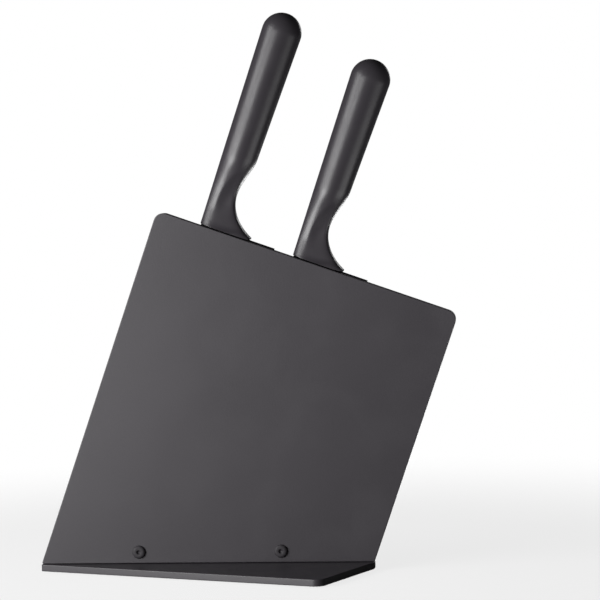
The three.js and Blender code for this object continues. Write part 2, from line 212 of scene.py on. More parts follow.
def turned(name, profile, matrix, sides=64):
    """A solid of revolution about z, from [radius, z] points that leave out the axis."""
    rings = [
        [
            (radius * math.cos(a), radius * math.sin(a), z)
            for a in (2 * math.pi * side / sides for side in range(sides))
        ]
        for radius, z in profile
    ]
    return mesh_object(name, *loft(rings), matrix)


def block(name, low, high, matrix):
    """A box between two corners of a local frame, used as a cutter or joined to another piece."""
    xs, ys, zs = zip(low, high)
    rings = [
        [(xs[0], ys[0], z), (xs[1], ys[0], z), (xs[1], ys[1], z), (xs[0], ys[1], z)] for z in zs
    ]
    return mesh_object(name, *loft(rings), matrix)


def boolean(piece, tools, operation):
    """Joins tools to a piece or cuts them out of it, and removes them."""
    for tool in tools:
        modifier = piece.modifiers.new(operation.lower(), "BOOLEAN")
        modifier.operation = operation
        modifier.solver = "EXACT"
        modifier.object = tool
    graph = bpy.context.evaluated_depsgraph_get()
    shaped = bpy.data.meshes.new_from_object(piece.evaluated_get(graph))
    piece.modifiers.clear()
    piece.data = shaped
    for tool in tools:
        bpy.data.objects.remove(tool)


SOFT_ANGLE = math.radians(40)  # edges that turn by more than this are rounded


def soften(piece, width, segments=3):
    """Rounds the edges of a piece, and returns the modifier that does it."""
    modifier = piece.modifiers.new("soft edges", "BEVEL")
    modifier.width = width
    modifier.segments = segments
    modifier.limit_method = "ANGLE"
    modifier.angle_limit = SOFT_ANGLE
    modifier.use_clamp_overlap = True
    return modifier


def soften_long_edges(piece, width, shortest):
    """Joins the faces that lie in one plane, and rounds the outer edges that are long enough."""
    work = bmesh.new()
    work.from_mesh(piece.data)
    bmesh.ops.remove_doubles(work, verts=work.verts, dist=0.005 * MM)
    in_plane = math.radians(0.5)
    bmesh.ops.dissolve_limit(work, angle_limit=in_plane, verts=work.verts, edges=work.edges)
    weight = work.edges.layers.float.new("bevel_weight_edge")
    for edge in work.edges:
        outer = edge.is_manifold and edge.is_convex and edge.calc_face_angle() > SOFT_ANGLE
        edge[weight] = 1.0 if outer and edge.calc_length() > shortest else 0.0
    work.to_mesh(piece.data)
    work.free()
    soften(piece, width).limit_method = "WEIGHT"


def finish_piece(piece, material, body, slot, *nodes):
    """Shades a new piece, gives it its material, hangs it under its body, and hides the CAD nodes it
    stands in for.
    """
    piece.data.materials.clear()
    piece.data.materials.append(material)
    piece.data.shade_smooth()
    shading = piece.modifiers.new("even shading", "WEIGHTED_NORMAL")
    shading.weight = 80
    shading.keep_sharp = True
    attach(piece, body)
    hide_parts(*nodes)


# ---------------------------------------------------------------- material building
class Surface:
    """A Principled material whose colour, roughness and bump are built from nodes."""

    def __init__(self, name):
        self.material = bpy.data.materials.new(name)
        self.material.use_nodes = True
        self.tree = self.material.node_tree
        self.shader = self.tree.nodes["Principled BSDF"]
        self.place = self.node("ShaderNodeTexCoord").outputs["Object"]
        self.relief = None

    def node(self, kind, inputs=None, **attributes):
        made = self.tree.nodes.new(kind)
        for key, value in attributes.items():
            setattr(made, key, value)
        for key, value in (inputs or {}).items():
            self.feed(made.inputs[key], value)
        return made

    def feed(self, socket, value):
        if isinstance(value, bpy.types.NodeSocket):
            self.tree.links.new(value, socket)
        else:
            socket.default_value = value

    def math(self, operation, a, b):
        return self.node("ShaderNodeMath", {0: a, 1: b}, operation=operation).outputs[0]

    def stretched(self, scale):
        """Object coordinates with each axis scaled by its own factor."""
        mapping = self.node("ShaderNodeMapping", {"Vector": self.place, "Scale": scale})
        return mapping.outputs[0]

    def noise(self, size, detail=3.0, roughness=0.5, place=None, distortion=0.0):
        """Noise from 0 to 1 whose lumps are about the given size across."""
        made = self.node(
            "ShaderNodeTexNoise",
            {
                "Vector": place or self.place,
                "Scale": 1 / size,
                "Detail": detail,
                "Roughness": roughness,
                "Distortion": distortion,
            },
        )
        return made.outputs[0]

    def pits(self, size):
        """Smooth cell distance, 0 in the middle of each cell."""
        made = self.node(
            "ShaderNodeTexVoronoi",
            {"Vector": self.place, "Scale": 1 / size, "Smoothness": 0.6},
            feature="SMOOTH_F1",
        )
        return made.outputs["Distance"]

    def ramp(self, value, low, high, to_low=0.0, to_high=1.0):
        """A value from low to high mapped smoothly to another range."""
        made = self.node(
            "ShaderNodeMapRange",
            {"Value": value, 1: low, 2: high, 3: to_low, 4: to_high},
            interpolation_type="SMOOTHSTEP",
        )
        return made.outputs[0]

    def blend(self, factor, first, second):
        """A colour between two, the second where the factor is 1."""
        made = self.node("ShaderNodeMix", {0: factor, 6: first, 7: second}, data_type="RGBA")
        return made.outputs[2]

    def bump(self, height, distance):
        """Adds a layer of relief to the ones already there."""
        inputs = {"Height": height, "Distance": distance, "Strength": 1.0}
        if self.relief is not None:
            inputs["Normal"] = self.relief
        self.relief = self.node("ShaderNodeBump", inputs).outputs[0]

    def edges(self, radius):
        """0 on flat stretches, rising to 1 where the surface turns within the radius."""
        rounded = self.node("ShaderNodeBevel", {"Radius": radius}, samples=4).outputs[0]
        normal = self.node("ShaderNodeNewGeometry").outputs["Normal"]
        pair = {0: rounded, 1: normal}
        likeness = self.node("ShaderNodeVectorMath", pair, operation="DOT_PRODUCT")
        return self.ramp(likeness.outputs["Value"], 0.995, 0.90)

    def close(self, colour, roughness, **constants):
        """Connects the results, and sets the shader's constant inputs."""
        self.feed(self.shader.inputs["Base Color"], colour)
        self.feed(self.shader.inputs["Roughness"], roughness)
        if self.relief is not None:
            self.feed(self.shader.inputs["Normal"], self.relief)
        for key, value in constants.items():
            self.shader.inputs[key.replace("_", " ")].default_value = value
        return self.material


def grey(value, warm=0.0):
    """A near neutral colour: warm above 0 turns it a little towards purple."""
    return (value * (1 + warm), value * (1 - warm), value * (1 + 2 * warm), 1.0)


def shaded(surface, value, patches, specks, warm=0.035):
    """A grey with slow patches and fine specks of lighter and darker grey."""
    slow = surface.ramp(surface.noise(70 * MM, detail=2), 0.3, 0.7)
    fine = surface.ramp(surface.noise(0.45 * MM, detail=2), 0.35, 0.7)
    base = surface.blend(slow, grey(value * (1 - patches), warm), grey(value * (1 + patches), warm))
    return surface.blend(surface.math("MULTIPLY", fine, specks), base, grey(value * 1.8, warm))


def coated_steel():
    """Charcoal powder coat: orange peel, fine grain, and edges polished a little by handling."""
    s = Surface("coated_steel_look")
    peel = s.noise(1.1 * MM, detail=2)
    grain = s.noise(0.22 * MM, detail=3)
    smudge = s.ramp(s.noise(38 * MM, detail=4, roughness=0.6, distortion=0.4), 0.35, 0.75)
    wear = s.math("MULTIPLY", s.edges(0.7 * MM), s.ramp(s.noise(4 * MM, detail=5), 0.35, 0.65))
    coat = shaded(s, 0.040, 0.05, 0.14, warm=0.05)
    colour = s.blend(s.math("MULTIPLY", wear, 0.4), coat, grey(0.08, 0.03))
    rough = s.math("ADD", s.ramp(smudge, 0, 1, 0.41, 0.47), s.math("MULTIPLY", wear, -0.08))
    s.bump(peel, 0.035 * MM)
    s.bump(grain, 0.012 * MM)
    return s.close(colour, rough, Specular_IOR_Level=0.5)


def black_steel():
    """Matt black dip coat on the bracket."""
    s = Surface("black_steel_look")
    wear = s.math("MULTIPLY", s.edges(0.6 * MM), s.ramp(s.noise(3 * MM, detail=5), 0.4, 0.7))
    colour = s.blend(s.math("MULTIPLY", wear, 0.5), shaded(s, 0.018, 0.08, 0.10), grey(0.07))
    rough = s.ramp(s.noise(12 * MM, detail=4), 0.3, 0.7, 0.42, 0.55)
    s.bump(s.noise(0.7 * MM, detail=3), 0.02 * MM)
    return s.close(colour, rough)


def screw_steel():
    """Black oxide, worn a little brighter on the rims."""
    s = Surface("screw_steel_look")
    wear = s.math("MULTIPLY", s.edges(0.35 * MM), s.ramp(s.noise(0.9 * MM, detail=4), 0.35, 0.7))
    colour = s.blend(wear, shaded(s, 0.030, 0.10, 0.15, warm=0.05), grey(0.05, 0.03))
    rough = s.ramp(s.noise(1.6 * MM, detail=4), 0.3, 0.7, 0.56, 0.68)
    s.bump(s.noise(0.25 * MM, detail=3), 0.008 * MM)
    return s.close(colour, rough, Metallic=0.15, Specular_IOR_Level=0.4)


def board_plastic():
    """Black moulded board with a fine spark-eroded texture and faint rub marks from the blades."""
    s = Surface("board_plastic_look")
    rub = s.ramp(s.noise(6 * MM, detail=6, place=s.stretched((1, 1, 0.12))), 0.52, 0.72)
    colour = s.blend(s.math("MULTIPLY", rub, 0.25), shaded(s, 0.021, 0.07, 0.12), grey(0.045))
    mottled = s.ramp(s.noise(25 * MM, detail=4), 0.3, 0.7, 0.58, 0.68)
    rough = s.math("SUBTRACT", mottled, s.math("MULTIPLY", rub, 0.12))
    s.bump(s.pits(0.5 * MM), 0.03 * MM)
    s.bump(s.noise(0.3 * MM, detail=3), 0.015 * MM)
    return s.close(colour, rough)


def handle_plastic():
    """Near-black moulded plastic with a fine satin grain, smoother where a hand holds it."""
    s = Surface("handle_plastic_look")
    rub = s.ramp(s.noise(22 * MM, detail=4, roughness=0.6, distortion=0.5), 0.35, 0.7)
    colour = shaded(s, 0.039, 0.05, 0.10, warm=0.05)
    rough = s.ramp(rub, 0, 1, 0.33, 0.38)
    s.bump(s.pits(0.34 * MM), 0.014 * MM)
    s.bump(s.noise(0.2 * MM, detail=3), 0.008 * MM)
    return s.close(colour, rough, Specular_IOR_Level=0.5)


def blade_steel():
    """Black non-stick coat over ground steel: the grinding lines show through, across the blade."""
    s = Surface("blade_steel_look")
    lines = s.noise(0.35 * MM, detail=4, place=s.stretched((0.1, 0.1, 1)))
    wear = s.math("MULTIPLY", s.edges(0.3 * MM), s.ramp(s.noise(2 * MM, detail=5), 0.45, 0.7))
    colour = s.blend(s.math("MULTIPLY", wear, 0.6), shaded(s, 0.016, 0.06, 0.08), grey(0.12))
    rough = s.ramp(s.noise(18 * MM, detail=4), 0.3, 0.7, 0.37, 0.42)
    s.bump(lines, 0.01 * MM)
    return s.close(colour, rough)


def pad_rubber():
    """Matt black rubber."""
    s = Surface("pad_rubber_look")
    colour = shaded(s, 0.014, 0.1, 0.12)
    rough = s.ramp(s.noise(2 * MM, detail=4), 0.3, 0.7, 0.75, 0.88)
    s.bump(s.noise(0.3 * MM, detail=3), 0.02 * MM)
    return s.close(colour, rough)


def foam_tape():
    """Closed-cell foam."""
    s = Surface("foam_tape_look")
    colour = shaded(s, 0.05, 0.06, 0.2)
    rough = s.ramp(s.noise(1.5 * MM, detail=3), 0.3, 0.7, 0.85, 0.97)
    s.bump(s.pits(0.4 * MM), 0.06 * MM)
    return s.close(colour, rough)


def magnet_plating():
    """Bright nickel with a few dull spots."""
    s = Surface("magnet_plating_look")
    spots = s.ramp(s.noise(3 * MM, detail=6, roughness=0.7), 0.5, 0.7)
    colour = s.blend(spots, grey(0.56), grey(0.40, 0.01))
    rough = s.ramp(spots, 0, 1, 0.18, 0.38)
    s.bump(s.noise(0.8 * MM, detail=3), 0.006 * MM)
    return s.close(colour, rough, Metallic=1.0)


def floor_look():
    """Plain matt white that fades into the white room around it."""
    s = Surface("floor_look")
    tone = s.noise(0.6, detail=2)
    colour = s.blend(s.ramp(tone, 0.3, 0.7), grey(0.86), grey(0.88))
    s.close(colour, s.ramp(tone, 0.3, 0.7, 0.75, 0.85), Specular_IOR_Level=0.2)
    away = s.node("ShaderNodeVectorMath", {0: s.place}, operation="LENGTH").outputs["Value"]
    s.feed(s.shader.inputs["Alpha"], s.ramp(away, FLOOR_SOLID, FLOOR_GONE, FLOOR_OPACITY, 0.0))
    return s.material


looks = {
    look.__name__: look()
    for look in (
        coated_steel,
        black_steel,
        screw_steel,
        board_plastic,
        handle_plastic,
        blade_steel,
        pad_rubber,
        foam_tape,
        magnet_plating,
    )
}


# ---------------------------------------------------------------- base plate, its pads and screws
def middle_of(node):
    low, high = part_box(node)
    return (low + high) / 2


def half_width(node):
    low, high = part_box(node)
    return (high.x - low.x) / 2


def turned_on(node, name, profile):
    """A solid of revolution about the upright axis of a CAD node."""
    centre = middle_of(node)
    return turned(name, profile, Matrix.Translation((centre.x, centre.y, 0)))


def build_base():
    """The plate, with countersunk holes for its screws and recesses for its pads underneath."""
    a = Vector((front_left.x, front_left.y))
    b = a + Vector((BASE_LENGTH, 0))
    c = b + Vector((0, BASE_DEPTH))
    behind = Vector((back_axis.x, back_axis.y)) * board_back
    d = a + behind + Vector((0, BASE_DEPTH))
    corners = [a, b, c, c + behind, d, a + behind]
    radii = [SHARP_RADIUS, CORNER_RADIUS, SHARP_RADIUS, SHARP_RADIUS, CORNER_RADIUS, SHARP_RADIUS]
    low, high = base_low.z, base_high.z
    piece = plate("base_plate_coated", corners, radii, low, high, PLATE_EDGE, Matrix())
    cutters = []
    for node in FOOT_PADS:
        radius = half_width(node) + CLEARANCE
        profile = [(radius, -OVERCUT), (radius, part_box(node)[1].z + CLEARANCE)]
        cutters.append(turned_on(node, "recess", profile))
    for node in BASE_SCREWS:
        head = half_width(node) + CLEARANCE
        rim = low + SUNK_RIM
        profile = [
            (head, -OVERCUT),
            (head, rim),
            (SCREW_HOLE, rim + head - SCREW_HOLE),
            (SCREW_HOLE, high + OVERCUT),
        ]
        cutters.append(turned_on(node, "sink", profile))
    boolean(piece, cutters, "DIFFERENCE")
    finish_piece(piece, looks["coated_steel"], "stand", "coated_steel", "base_plate")


def build_pad(node):
    low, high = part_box(node)
    rings = edge_rings(low.z, high.z, PAD_EDGE)
    profile = [(half_width(node) - inset, z) for inset, z in rings]
    piece = turned_on(node, node + "_rubber", profile)
    finish_piece(piece, looks["pad_rubber"], "stand", "pad_rubber", node)


def socket_solid(name, profile, socket_radius, socket_end, matrix, sides=72):
    """A turned body, given from its far end to its head, with a hexagon socket sunk in the head."""
    angles = [2 * math.pi * side / sides for side in range(sides)]

    def circle(radius, z):
        return [(radius * math.cos(a), radius * math.sin(a), z) for a in angles]

    def hexagon(radius, z):
        flat = radius * math.cos(math.pi / 6)
        points = []
        for a in angles:
            off = (a % (math.pi / 3)) - math.pi / 6
            reach_out = flat / math.cos(off)
            points.append((reach_out * math.cos(a), reach_out * math.sin(a), z))
        return points

    head = profile[-1][1]
    inwards = math.copysign(1, socket_end - head)
    rings = [circle(radius, z) for radius, z in profile]
    rings.append(circle(socket_radius + 2 * SOCKET_CHAMFER, head))
    rings.append(hexagon(socket_radius + SOCKET_CHAMFER, head + inwards * 0.3 * SOCKET_CHAMFER))
    rings.append(hexagon(socket_radius, head + inwards * SOCKET_CHAMFER))
    rings.append(hexagon(socket_radius, socket_end))
    rings.append(circle(socket_radius * 0.3, socket_end + inwards * 0.3 * MM))  # the drill's point
    return mesh_object(name, *loft(rings), matrix)


def build_base_screw(node):
    """A countersunk screw that stands on its head."""
    low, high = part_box(node)
    head = half_width(node)
    rim = low.z + SUNK_RIM
    profile = [
        (SCREW_END_RADIUS, high.z),
        (SCREW_RADIUS, high.z - SCREW_END_LENGTH),
        (SCREW_RADIUS, rim + head - SCREW_RADIUS),
        (head, rim),
        (head, low.z + HEAD_EDGE),
        (head - HEAD_EDGE, low.z),
    ]
    centre = middle_of(node)
    place = Matrix.Translation((centre.x, centre.y, 0))
    socket_end = low.z + SUNK_SOCKET_DEPTH
    piece = socket_solid(node + "_oxide", profile, SUNK_SOCKET_RADIUS, socket_end, place)
    finish_piece(piece, looks["screw_steel"], "stand", "screw_steel", node)


# ---------------------------------------------------------------- panel, its screws, bracket, board
def lean_corners(left, right, top, foot):
    """Corners of the leaning outline, whose foot is level."""

    def foot_at(x):
        return foot / math.cos(lean) + x * math.tan(lean)

    return [
        Vector((left, foot_at(left))),
        Vector((right, foot_at(right))),
        Vector((right, top)),
        Vector((left, top)),
    ]


def screw_frame(node):
    """The frame of a front screw: z points out of the head, and the origin is on its axis."""
    along = reach(node, foot_axis, front_left)
    up = reach(node, UP, front_left)
    centre = foot_frame @ Vector((sum(along) / 2, 0, sum(up) / 2))
    return frame_matrix(foot_axis, UP, -back_axis, centre)


def screw_hole_cutters(back, front):
    """Cutters for the front screws' holes, from a place behind the panel's face to one before it."""
    profile = [(SCREW_HOLE, -back), (SCREW_HOLE, front)]
    return [turned("hole", profile, screw_frame(node)) for node in FRONT_SCREWS]


def build_panel():
    corners = lean_corners(panel_left, panel_right, panel_top, panel_foot)
    radii = [SHARP_RADIUS, SHARP_RADIUS, CORNER_RADIUS, CORNER_RADIUS]
    piece = plate(
        "front_panel_coated",
        corners,
        radii,
        panel_front,
        panel_back,
        PLATE_EDGE,
        lean_frame,
        upright=True,
    )
    boolean(piece, screw_hole_cutters(5 * MM, 5 * MM), "DIFFERENCE")
    finish_piece(piece, looks["coated_steel"], "stand", "coated_steel", "front_panel")


def build_front_screw(node):
    """A low button head with a hexagon socket."""
    out_low, out_high = reach(node, -back_axis, front_left)
    low, high = reach(node, UP)
    head = (high - low) / 2
    under = CLEARANCE  # the head's seat, just clear of the panel
    height = (out_high - under) * BUTTON_HEIGHT_SHARE
    profile = [
        (SCREW_END_RADIUS, out_low),
        (SCREW_RADIUS, out_low + SCREW_END_LENGTH),
        (SCREW_RADIUS, under),
        (head - HEAD_EDGE, under),
    ]
    steps = 8
    for step in range(steps + 1):
        angle = math.radians(90) * step / steps
        radius = BUTTON_FLAT + (head - BUTTON_FLAT) * math.cos(angle)
        profile.append((radius, under + BUTTON_RIM + (height - BUTTON_RIM) * math.sin(angle)))
    socket_end = under + height - BUTTON_SOCKET_DEPTH
    place = screw_frame(node)
    piece = socket_solid(node + "_oxide", profile, BUTTON_SOCKET_RADIUS, socket_end, place)
    finish_piece(piece, looks["screw_steel"], "stand", "screw_steel", node)


def build_bracket():
    """An angle behind the panel's foot, whose own foot is shorter than it."""
    left, right = reach("foot_bracket", foot_axis, front_left)
    front, back = reach("foot_bracket", back_axis, front_left)
    low, high = reach("foot_bracket", UP, front_left)
    vertices = [v.co - front_left for v in frame["nodes"]["foot_bracket"].data.vertices]
    near_rear = back - 1 * MM
    rear = [v.dot(foot_axis) for v in vertices if v.dot(back_axis) > near_rear]
    thick = board_back - front
    inner = front + thick
    foot_top = low + thick
    overlap = 1 * MM  # of the foot with the upright leg

    def foot_ring(x):
        points = [(x, inner - overlap, low), (x, back, low), (x, back, foot_top)]
        steps = 6
        for step in range(steps + 1):
            turn = math.radians(90) * step / steps
            away = BRACKET_FILLET * (1 - math.sin(turn))
            rise = BRACKET_FILLET * (1 - math.cos(turn))
            points.append((x, inner + away, foot_top + rise))
        points.append((x, inner - overlap, foot_top + BRACKET_FILLET))
        return points

    piece = block("foot_bracket_black", (left, front, low), (right, inner, high), foot_frame)
    foot = mesh_object("foot", *loft([foot_ring(min(rear)), foot_ring(max(rear))]), foot_frame)
    boolean(piece, [foot], "UNION")
    cutters = screw_hole_cutters(20 * MM, 5 * MM)
    start, end = front_left.z - OVERCUT, front_left.z + foot_top + OVERCUT
    for node in BASE_SCREWS:
        cutters.append(turned_on(node, "hole", [(SCREW_HOLE, start), (SCREW_HOLE, end)]))
    boolean(piece, cutters, "DIFFERENCE")
    soften_long_edges(piece, BRACKET_EDGE, shortest=1.5 * MM)
    finish_piece(piece, looks["black_steel"], "stand", "black_steel", "foot_bracket")


magnets = [n for n in frame["nodes"] if n.startswith("magnet_") and n != "magnet_board"]
tapes = [n for n in frame["nodes"] if n.startswith("bond_tape")]
sealed_in = [n for n in frame["nodes"] if n in magnets or n in tapes]


def build_board():
    """The magnet board, with a pocket in its front face for each magnet and each tape."""
    corners = lean_corners(board_left, board_right, panel_top, board_foot)
    top_radius = CORNER_RADIUS - (board_left - panel_left)
    radii = [SHARP_RADIUS, SHARP_RADIUS, top_radius, top_radius]
    piece = plate(
        "magnet_board_moulded",
        corners,
        radii,
        board_front,
        board_back - BOARD_THINNED,
        BOARD_EDGE,
        lean_frame,
        upright=True,
    )
    cutters = []
    for node in sealed_in:
        ranges = [reach(node, axis, front_left) for axis in (across_axis, back_axis, lift_axis)]
        low = [start - CLEARANCE for start, end in ranges]
        high = [end + CLEARANCE for start, end in ranges]
        cutters.append(block("pocket", low, high, lean_frame))
    boolean(piece, cutters, "DIFFERENCE")
    finish_piece(piece, looks["board_plastic"], "stand", "board_plastic", "magnet_board")


def dress_inner_nodes():
    """Magnets and tapes keep their CAD shape, welded and with their edges broken."""
    for node in sealed_in:
        carried = frame["nodes"][node]
        carried.modifiers.new("weld", "WELD").merge_threshold = 0.01 * MM
        soften(carried, 0.2 * MM, segments=2)
        carried.data.materials.clear()
        carried.data.materials.append(looks["magnet_plating" if node in magnets else "foam_tape"])


# ---------------------------------------------------------------- knives
# A knife's own frame: x from its spine to its edge, y towards its back face, z up along the knife from
# the panel's top edge. On a handle, u is the distance from its spine side, and v is the height above
# its lower end. Lengths in this part are in millimetres until a ring or a block is made.
HANDLE_GAP = 0.7  # between the panel's top edge and the handle
GUARD_SWEEP = [(31.8, 1.3), (20.8, 6.6), (15.8, 15), (15.8, 23)]  # (width, v), to the finger notch
NOTCH_SWEEP = [(15.8, 23), (15.8, 31), (20.7, 39), (21.2, 46)]  # from the finger notch to the grip
GUARD_FOOT = [(-0.3, 0, 0.99), (-0.1, 0.1, 0.996), (0, 0.4, 1)]  # (widening, v, scale) of the edge
GRIP_END_WIDTH = 24
GRIP_END_ROUND = 12  # height of the rounded end
GRIP_DRIFT = 0.0103  # slope of the spine side away from the blade's spine
GRIP_HALF_RATIO = 0.458  # half thickness to width
GUARD_HALF = 4.4  # half thickness of the neck
GUARD_FLARE = 2.8  # by which the guard's foot is thicker than that on each side
FLARE_TOP = 16  # height at which that ends
THICKENING = (10, 43)  # heights between which the neck's thickness becomes the grip's
ROUNDING = (6, 46)  # heights between which the belly side turns from squarish to round
SCOOP_CENTRE = (20, 6)  # (u, v) of the thumb scoop
SCOOP_REACH = (17.5, 28)  # towards the spine side, and upwards
SCOOP_REACH_DOWN = 8
SCOOP_SLOPE = 0.3  # of the scoop, which is higher on the belly side
SCOOP_LEVEL_AT = 10  # the u at which it is as high as its centre
SCOOP_SIDE = 0.55  # share of the reach, at its outer end, over which the scoop's side rises
SCOOP_STEEPNESS = 15
SCOOP_HALF = 3.7  # half thickness at the scoop's floor
SCOOP_FADE = (1, 17)  # heights between which the scoop opens
SCOOP_FADE_HALF = 1.8  # by which it is shallower where it has faded
SCOOP_BLEND = 0.8  # softness of the scoop's edge
SCOOP_FADE_BLEND = 1.4  # added to that where it has faded

HEEL_RISE = 0.6  # of the blade's heel above the panel
BLADE_HALF = 1  # half thickness
SPINE_INSET = 0.6  # of the blade's spine from the handle's
TIP_WIDTH = 0.8
TIP_THINNING = 0.45  # share of the thickness lost at the tip
BEVEL_SHARE = 0.14  # of the blade's width, ground to the edge
BEVEL_START = 0.6  # share of the thickness where the ground bevel starts
EDGE_HALF = 0.12  # half thickness of the cutting edge
COLLAR = (0.8, 31.4)  # its ends, from the handle's spine side
COLLAR_CLEARANCE = 0.02  # between the collar and the handle
COLLAR_OVERLAP = 2  # with the blade
TANG = (3, 12.5)  # its sides, from the handle's spine side
TANG_THINNING = 0.99  # keeps the tang's faces off the collar's
TANG_OVERLAP = 2.2  # with the blade


def smoothstep(value, low, high):
    t = min(max((value - low) / (high - low), 0), 1)
    return t * t * (3 - 2 * t)


def bezier(points, t):
    s = 1 - t
    weights = (s**3, 3 * s * s * t, 3 * s * t * t, t**3)
    return tuple(sum(w * p[k] for w, p in zip(weights, points)) for k in (0, 1))


def belly_profile(length):
    """(width, height) pairs of the handle, from the guard to the start of its rounded end."""
    guard_steps, notch_steps, grip_steps = 36, 30, 40
    points = [bezier(GUARD_SWEEP, step / guard_steps) for step in range(guard_steps + 1)]
    points += [bezier(NOTCH_SWEEP, step / notch_steps) for step in range(1, notch_steps + 1)]
    width, start = NOTCH_SWEEP[-1]
    end = length - GRIP_END_ROUND
    for step in range(1, grip_steps + 1):
        t = step / grip_steps
        points.append((width + (GRIP_END_WIDTH - width) * t, start + (end - start) * t))
    return points


def soft_minimum(a, b, blend):
    """The lower of two values, with the change from one to the other rounded off."""
    gap = max(blend - abs(a - b), 0) / blend
    return min(a, b) - gap * gap * blend / 4


def half_thickness(side, u, v, width):
    """Half the handle's thickness at a place, side being -1 at the spine and 1 at the belly."""
    thickening = smoothstep(v, *THICKENING)
    flare = GUARD_FLARE * max(1 - v / FLARE_TOP, 0) ** 2
    full = GUARD_HALF + flare + (width * GRIP_HALF_RATIO - GUARD_HALF) * thickening
    power = 2.0  # of the section's superellipse: 2 is an ellipse, and more is squarer
    if side > 0:
        power = 4.0 - 2.0 * smoothstep(v, *ROUNDING)
    grip = full * max(1 - abs(side) ** power, 0) ** (1 / power)
    lifted = v - SCOOP_SLOPE * (u - SCOOP_LEVEL_AT) - SCOOP_CENTRE[1]
    away = max(SCOOP_CENTRE[0] - u, 0) / SCOOP_REACH[0]
    up = lifted / SCOOP_REACH[1] if lifted > 0 else -lifted / SCOOP_REACH_DOWN
    rise = max(math.hypot(away, up) - 1 + SCOOP_SIDE, 0)
    faded = 1 - smoothstep(v, *SCOOP_FADE)
    scoop = SCOOP_HALF + SCOOP_FADE_HALF * faded + SCOOP_STEEPNESS * rise**3
    return soft_minimum(grip, scoop, SCOOP_BLEND + SCOOP_FADE_BLEND * faded)


def handle_ring(width, v, scale, sides=96):
    """One section of the handle, scaled about its own middle."""
    middle = width / 2 - GRIP_DRIFT * v
    ring = []
    for step in range(sides):
        angle = 2 * math.pi * step / sides
        side = math.cos(angle)
        half = half_thickness(side, (side + 1) * width / 2, v, width)
        across = middle + width / 2 * scale * side
        back = math.copysign(half, math.sin(angle)) * scale if abs(side) < 1 else 0
        ring.append((across * MM, back * MM, HANDLE_GAP * MM + v * MM))
    return ring


def handle_rings(length):
    profile = belly_profile(length)
    foot_width = profile[0][0]
    rings = [handle_ring(foot_width + wider, v, scale) for wider, v, scale in GUARD_FOOT]
    rings += [handle_ring(width, v, 1) for width, v in profile]
    start = length - GRIP_END_ROUND
    steps = 18
    for step in range(1, steps + 1):
        angle = math.radians(88) * step / steps
        v = start + GRIP_END_ROUND * math.sin(angle)
        rings.append(handle_ring(GRIP_END_WIDTH, v, math.cos(angle)))
    return rings


def blade_rings(length, width, tip_drop):
    """Rings of the blade from tip to heel, by the same formula as the CAD's but finer.

    The blade narrows towards its tip from both sides: the spine drops by tip_drop, late and fast,
    and the edge rises to meet it, gently from the heel and then in a sweep.
    """
    levels = 70
    level_crowding = 1.6  # more rings near the tip
    spine_power = 4.5
    edge_slope = 0.14
    edge_power = 3.6
    spine_soft = 0.3  # rounding of the spine's corners
    rings = []
    for level in range(levels + 1):
        along = 1 - (level / levels) ** level_crowding  # 1 at the tip, 0 at the heel
        spine = SPINE_INSET + tip_drop * along**spine_power
        left = 1 - edge_slope * along - (1 - edge_slope) * along**edge_power
        edge = spine + TIP_WIDTH + (width - (SPINE_INSET + TIP_WIDTH) - spine) * left
        half = BLADE_HALF * (1 - TIP_THINNING * along)
        bevel = edge - BEVEL_SHARE * (edge - spine)
        soft = min(spine_soft, half / 2)
        upper = [
            (edge, EDGE_HALF),
            ((edge + bevel) / 2, 0.6 * BEVEL_START * half),
            (bevel, BEVEL_START * half),
            (bevel - 0.5, 1.025 * BEVEL_START * half),
            (spine + soft * 2, half - 0.01),
            (spine + soft, half - 0.02),
            (spine + soft * 0.3, half - soft * 0.3),
            (spine, half - soft),
        ]
        lower = [(x, -y) for x, y in reversed(upper)]
        z = HEEL_RISE - (length + HEEL_RISE) * along
        rings.append([(x * MM, y * MM, z * MM) for x, y in upper + lower])
    return rings


def build_knife(name, tip_drop):
    """A handle with a slot for the tang, and a blade with its collar and tang."""
    blade_node, handle_node = f"{name}_blade", f"{name}_handle"
    blade_start, blade_end = reach(blade_node, across_axis, front_left)
    spine = blade_start - SPINE_INSET * MM
    middle = sum(reach(blade_node, back_axis, front_left)) / 2
    tip, tang_end = reach(blade_node, lift_axis, front_left)
    handle_end = reach(handle_node, lift_axis, front_left)[1]
    held = lean_frame @ Matrix.Translation((spine, middle, panel_top))
    length = (panel_top - tip) / MM
    width = (blade_end - spine) / MM
    handle_length = (handle_end - panel_top - HANDLE_GAP * MM) / MM
    tang_top = (tang_end - panel_top) / MM

    def bar(label, ends, half, bottom, top):
        """A straight bar in the knife's frame, from one distance off the spine side to another."""
        low = [size * MM for size in (ends[0], -half, bottom)]
        high = [size * MM for size in (ends[1], half, top)]
        return block(label, low, high, held)

    blade_name, handle_name = f"{name}_blade_coated", f"{name}_handle_moulded"
    blade = mesh_object(blade_name, *loft(blade_rings(length, width, tip_drop)), held)
    collar_top = HANDLE_GAP - COLLAR_CLEARANCE
    collar = bar("collar", COLLAR, BLADE_HALF, -COLLAR_OVERLAP, collar_top)
    tang = bar("tang", TANG, BLADE_HALF * TANG_THINNING, -TANG_OVERLAP, tang_top)
    boolean(blade, [collar, tang], "UNION")
    finish_piece(blade, looks["blade_steel"], f"{name}_knife", "blade_steel", blade_node)

    handle = mesh_object(handle_name, *loft(handle_rings(handle_length)), held)
    gap = CLEARANCE / MM
    slot_ends = (TANG[0] - gap, TANG[1] + gap)
    slot = bar("slot", slot_ends, BLADE_HALF + gap, -OVERCUT / MM, tang_top + gap)
    boolean(handle, [slot], "DIFFERENCE")
    finish_piece(handle, looks["handle_plastic"], f"{name}_knife", "handle_plastic", handle_node)


